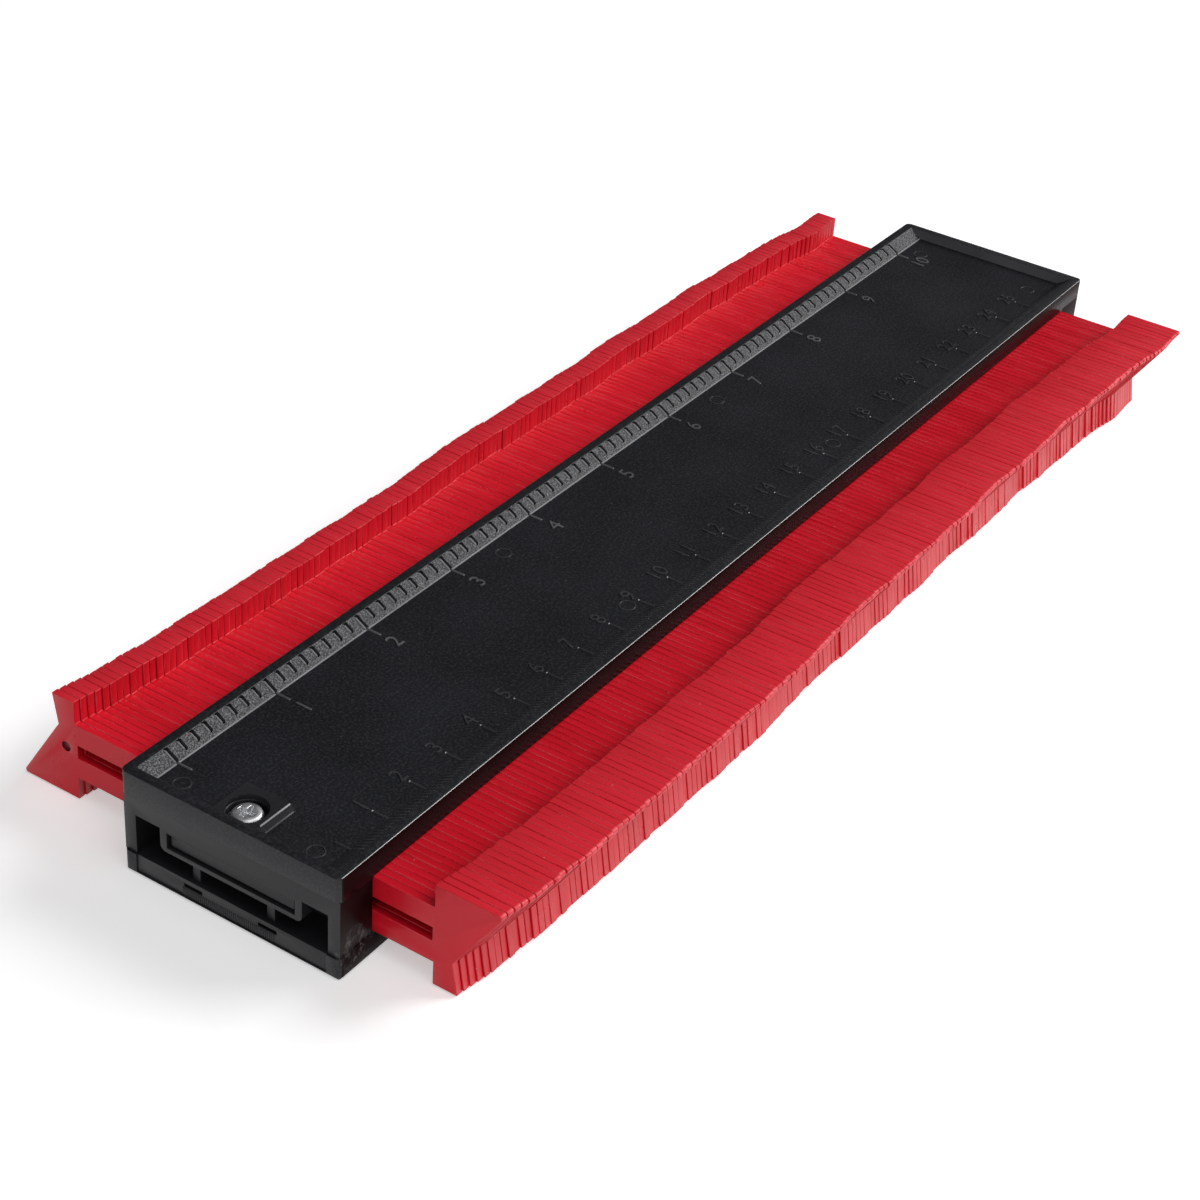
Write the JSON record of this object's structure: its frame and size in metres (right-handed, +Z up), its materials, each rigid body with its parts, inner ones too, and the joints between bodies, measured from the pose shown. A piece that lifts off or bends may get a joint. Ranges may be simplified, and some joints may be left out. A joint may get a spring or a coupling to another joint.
{
  "type": "contour gauge",
  "caption": "Contour gauge with a row of thin sliding red plastic leaves between black ruler covers, for copying the outline of an edge.",
  "frame": {"origin": "centre of the flat underside of the housing", "axes": "+X along the housing from the zero end of the scales, +Y along the leaves' travel, +Z up through the ruler tray"},
  "size_m": [0.277, 0.1074, 0.0213],
  "materials": {
    "housing_black": "fine spark-eroded texture, satin",
    "frame_black": "moulded, satin",
    "bar_black": "moulded, satin",
    "screw_zinc": "bright zinc plate",
    "leaf_red": "moulded, semi-gloss"
  },
  "bodies": {
    "housing": {"top_cover": "housing_black", "bottom_cover": "housing_black", "near_end_frame": "frame_black", "far_end_frame": "frame_black", "guide_bar": "bar_black", "cover_screws": "screw_zinc"},
    "leaf_pack_01": {"leaf_pack_01": "leaf_red"},
    "leaf_pack_02": {"leaf_pack_02": "leaf_red"},
    "leaf_pack_03": {"leaf_pack_03": "leaf_red"},
    "leaf_pack_04": {"leaf_pack_04": "leaf_red"},
    "leaf_pack_05": {"leaf_pack_05": "leaf_red"},
    "leaf_pack_06": {"leaf_pack_06": "leaf_red"},
    "leaf_pack_07": {"leaf_pack_07": "leaf_red"},
    "leaf_pack_08": {"leaf_pack_08": "leaf_red"},
    "leaf_pack_09": {"leaf_pack_09": "leaf_red"},
    "leaf_pack_10": {"leaf_pack_10": "leaf_red"},
    "leaf_pack_11": {"leaf_pack_11": "leaf_red"},
    "leaf_pack_12": {"leaf_pack_12": "leaf_red"},
    "leaf_pack_13": {"leaf_pack_13": "leaf_red"},
    "leaf_pack_14": {"leaf_pack_14": "leaf_red"},
    "leaf_pack_15": {"leaf_pack_15": "leaf_red"},
    "leaf_pack_16": {"leaf_pack_16": "leaf_red"},
    "leaf_pack_17": {"leaf_pack_17": "leaf_red"},
    "leaf_pack_18": {"leaf_pack_18": "leaf_red"},
    "leaf_pack_19": {"leaf_pack_19": "leaf_red"},
    "leaf_pack_20": {"leaf_pack_20": "leaf_red"},
    "leaf_pack_21": {"leaf_pack_21": "leaf_red"},
    "leaf_pack_22": {"leaf_pack_22": "leaf_red"},
    "leaf_pack_23": {"leaf_pack_23": "leaf_red"},
    "leaf_pack_24": {"leaf_pack_24": "leaf_red"},
    "leaf_pack_25": {"leaf_pack_25": "leaf_red"},
    "leaf_pack_26": {"leaf_pack_26": "leaf_red"},
    "leaf_pack_27": {"leaf_pack_27": "leaf_red"},
    "leaf_pack_28": {"leaf_pack_28": "leaf_red"},
    "leaf_pack_29": {"leaf_pack_29": "leaf_red"},
    "leaf_pack_30": {"leaf_pack_30": "leaf_red"},
    "leaf_pack_31": {"leaf_pack_31": "leaf_red"},
    "leaf_pack_32": {"leaf_pack_32": "leaf_red"},
    "leaf_pack_33": {"leaf_pack_33": "leaf_red"},
    "leaf_pack_34": {"leaf_pack_34": "leaf_red"},
    "leaf_pack_35": {"leaf_pack_35": "leaf_red"},
    "leaf_pack_36": {"leaf_pack_36": "leaf_red"},
    "leaf_pack_37": {"leaf_pack_37": "leaf_red"},
    "leaf_pack_38": {"leaf_pack_38": "leaf_red"},
    "leaf_pack_39": {"leaf_pack_39": "leaf_red"},
    "leaf_pack_40": {"leaf_pack_40": "leaf_red"},
    "leaf_pack_41": {"leaf_pack_41": "leaf_red"}
  },
  "joints": [
    {"name": "leaf_pack_01_slide", "type": "slide", "parent": "housing", "child": "leaf_pack_01", "axis": [0, 1, 0], "range_m": [-0.0176, 0.0118]},
    {"name": "leaf_pack_02_slide", "type": "slide", "parent": "housing", "child": "leaf_pack_02", "axis": [0, 1, 0], "range_m": [-0.0171, 0.0128]},
    {"name": "leaf_pack_03_slide", "type": "slide", "parent": "housing", "child": "leaf_pack_03", "axis": [0, 1, 0], "range_m": [-0.0166, 0.0132]},
    {"name": "leaf_pack_04_slide", "type": "slide", "parent": "housing", "child": "leaf_pack_04", "axis": [0, 1, 0], "range_m": [-0.0163, 0.0137]},
    {"name": "leaf_pack_05_slide", "type": "slide", "parent": "housing", "child": "leaf_pack_05", "axis": [0, 1, 0], "range_m": [-0.0163, 0.0138]},
    {"name": "leaf_pack_06_slide", "type": "slide", "parent": "housing", "child": "leaf_pack_06", "axis": [0, 1, 0], "range_m": [-0.0162, 0.0138]},
    {"name": "leaf_pack_07_slide", "type": "slide", "parent": "housing", "child": "leaf_pack_07", "axis": [0, 1, 0], "range_m": [-0.0161, 0.014]},
    {"name": "leaf_pack_08_slide", "type": "slide", "parent": "housing", "child": "leaf_pack_08", "axis": [0, 1, 0], "range_m": [-0.016, 0.0142]},
    {"name": "leaf_pack_09_slide", "type": "slide", "parent": "housing", "child": "leaf_pack_09", "axis": [0, 1, 0], "range_m": [-0.016, 0.0141]},
    {"name": "leaf_pack_10_slide", "type": "slide", "parent": "housing", "child": "leaf_pack_10", "axis": [0, 1, 0], "range_m": [-0.0159, 0.0142]},
    {"name": "leaf_pack_11_slide", "type": "slide", "parent": "housing", "child": "leaf_pack_11", "axis": [0, 1, 0], "range_m": [-0.016, 0.0141]},
    {"name": "leaf_pack_12_slide", "type": "slide", "parent": "housing", "child": "leaf_pack_12", "axis": [0, 1, 0], "range_m": [-0.0157, 0.0142]},
    {"name": "leaf_pack_13_slide", "type": "slide", "parent": "housing", "child": "leaf_pack_13", "axis": [0, 1, 0], "range_m": [-0.0157, 0.0144]},
    {"name": "leaf_pack_14_slide", "type": "slide", "parent": "housing", "child": "leaf_pack_14", "axis": [0, 1, 0], "range_m": [-0.0157, 0.0143]},
    {"name": "leaf_pack_15_slide", "type": "slide", "parent": "housing", "child": "leaf_pack_15", "axis": [0, 1, 0], "range_m": [-0.0157, 0.0143]},
    {"name": "leaf_pack_16_slide", "type": "slide", "parent": "housing", "child": "leaf_pack_16", "axis": [0, 1, 0], "range_m": [-0.016, 0.0139]},
    {"name": "leaf_pack_17_slide", "type": "slide", "parent": "housing", "child": "leaf_pack_17", "axis": [0, 1, 0], "range_m": [-0.0164, 0.0136]},
    {"name": "leaf_pack_18_slide", "type": "slide", "parent": "housing", "child": "leaf_pack_18", "axis": [0, 1, 0], "range_m": [-0.0167, 0.0134]},
    {"name": "leaf_pack_19_slide", "type": "slide", "parent": "housing", "child": "leaf_pack_19", "axis": [0, 1, 0], "range_m": [-0.0168, 0.0134]},
    {"name": "leaf_pack_20_slide", "type": "slide", "parent": "housing", "child": "leaf_pack_20", "axis": [0, 1, 0], "range_m": [-0.0164, 0.0135]},
    {"name": "leaf_pack_21_slide", "type": "slide", "parent": "housing", "child": "leaf_pack_21", "axis": [0, 1, 0], "range_m": [-0.0164, 0.0137]},
    {"name": "leaf_pack_22_slide", "type": "slide", "parent": "housing", "child": "leaf_pack_22", "axis": [0, 1, 0], "range_m": [-0.0166, 0.0135]},
    {"name": "leaf_pack_23_slide", "type": "slide", "parent": "housing", "child": "leaf_pack_23", "axis": [0, 1, 0], "range_m": [-0.0165, 0.0136]},
    {"name": "leaf_pack_24_slide", "type": "slide", "parent": "housing", "child": "leaf_pack_24", "axis": [0, 1, 0], "range_m": [-0.0165, 0.0137]},
    {"name": "leaf_pack_25_slide", "type": "slide", "parent": "housing", "child": "leaf_pack_25", "axis": [0, 1, 0], "range_m": [-0.0164, 0.0137]},
    {"name": "leaf_pack_26_slide", "type": "slide", "parent": "housing", "child": "leaf_pack_26", "axis": [0, 1, 0], "range_m": [-0.0164, 0.0134]},
    {"name": "leaf_pack_27_slide", "type": "slide", "parent": "housing", "child": "leaf_pack_27", "axis": [0, 1, 0], "range_m": [-0.0169, 0.0132]},
    {"name": "leaf_pack_28_slide", "type": "slide", "parent": "housing", "child": "leaf_pack_28", "axis": [0, 1, 0], "range_m": [-0.0168, 0.0132]},
    {"name": "leaf_pack_29_slide", "type": "slide", "parent": "housing", "child": "leaf_pack_29", "axis": [0, 1, 0], "range_m": [-0.0164, 0.0135]},
    {"name": "leaf_pack_30_slide", "type": "slide", "parent": "housing", "child": "leaf_pack_30", "axis": [0, 1, 0], "range_m": [-0.0164, 0.0136]},
    {"name": "leaf_pack_31_slide", "type": "slide", "parent": "housing", "child": "leaf_pack_31", "axis": [0, 1, 0], "range_m": [-0.0166, 0.0135]},
    {"name": "leaf_pack_32_slide", "type": "slide", "parent": "housing", "child": "leaf_pack_32", "axis": [0, 1, 0], "range_m": [-0.0168, 0.0132]},
    {"name": "leaf_pack_33_slide", "type": "slide", "parent": "housing", "child": "leaf_pack_33", "axis": [0, 1, 0], "range_m": [-0.0166, 0.0132]},
    {"name": "leaf_pack_34_slide", "type": "slide", "parent": "housing", "child": "leaf_pack_34", "axis": [0, 1, 0], "range_m": [-0.0163, 0.0137]},
    {"name": "leaf_pack_35_slide", "type": "slide", "parent": "housing", "child": "leaf_pack_35", "axis": [0, 1, 0], "range_m": [-0.0162, 0.0139]},
    {"name": "leaf_pack_36_slide", "type": "slide", "parent": "housing", "child": "leaf_pack_36", "axis": [0, 1, 0], "range_m": [-0.016, 0.0141]},
    {"name": "leaf_pack_37_slide", "type": "slide", "parent": "housing", "child": "leaf_pack_37", "axis": [0, 1, 0], "range_m": [-0.0159, 0.0142]},
    {"name": "leaf_pack_38_slide", "type": "slide", "parent": "housing", "child": "leaf_pack_38", "axis": [0, 1, 0], "range_m": [-0.0155, 0.0144]},
    {"name": "leaf_pack_39_slide", "type": "slide", "parent": "housing", "child": "leaf_pack_39", "axis": [0, 1, 0], "range_m": [-0.0145, 0.0149]},
    {"name": "leaf_pack_40_slide", "type": "slide", "parent": "housing", "child": "leaf_pack_40", "axis": [0, 1, 0], "range_m": [-0.0142, 0.0159]},
    {"name": "leaf_pack_41_slide", "type": "slide", "parent": "housing", "child": "leaf_pack_41", "axis": [0, 1, 0], "range_m": [-0.0145, 0.0156]}
  ]
}
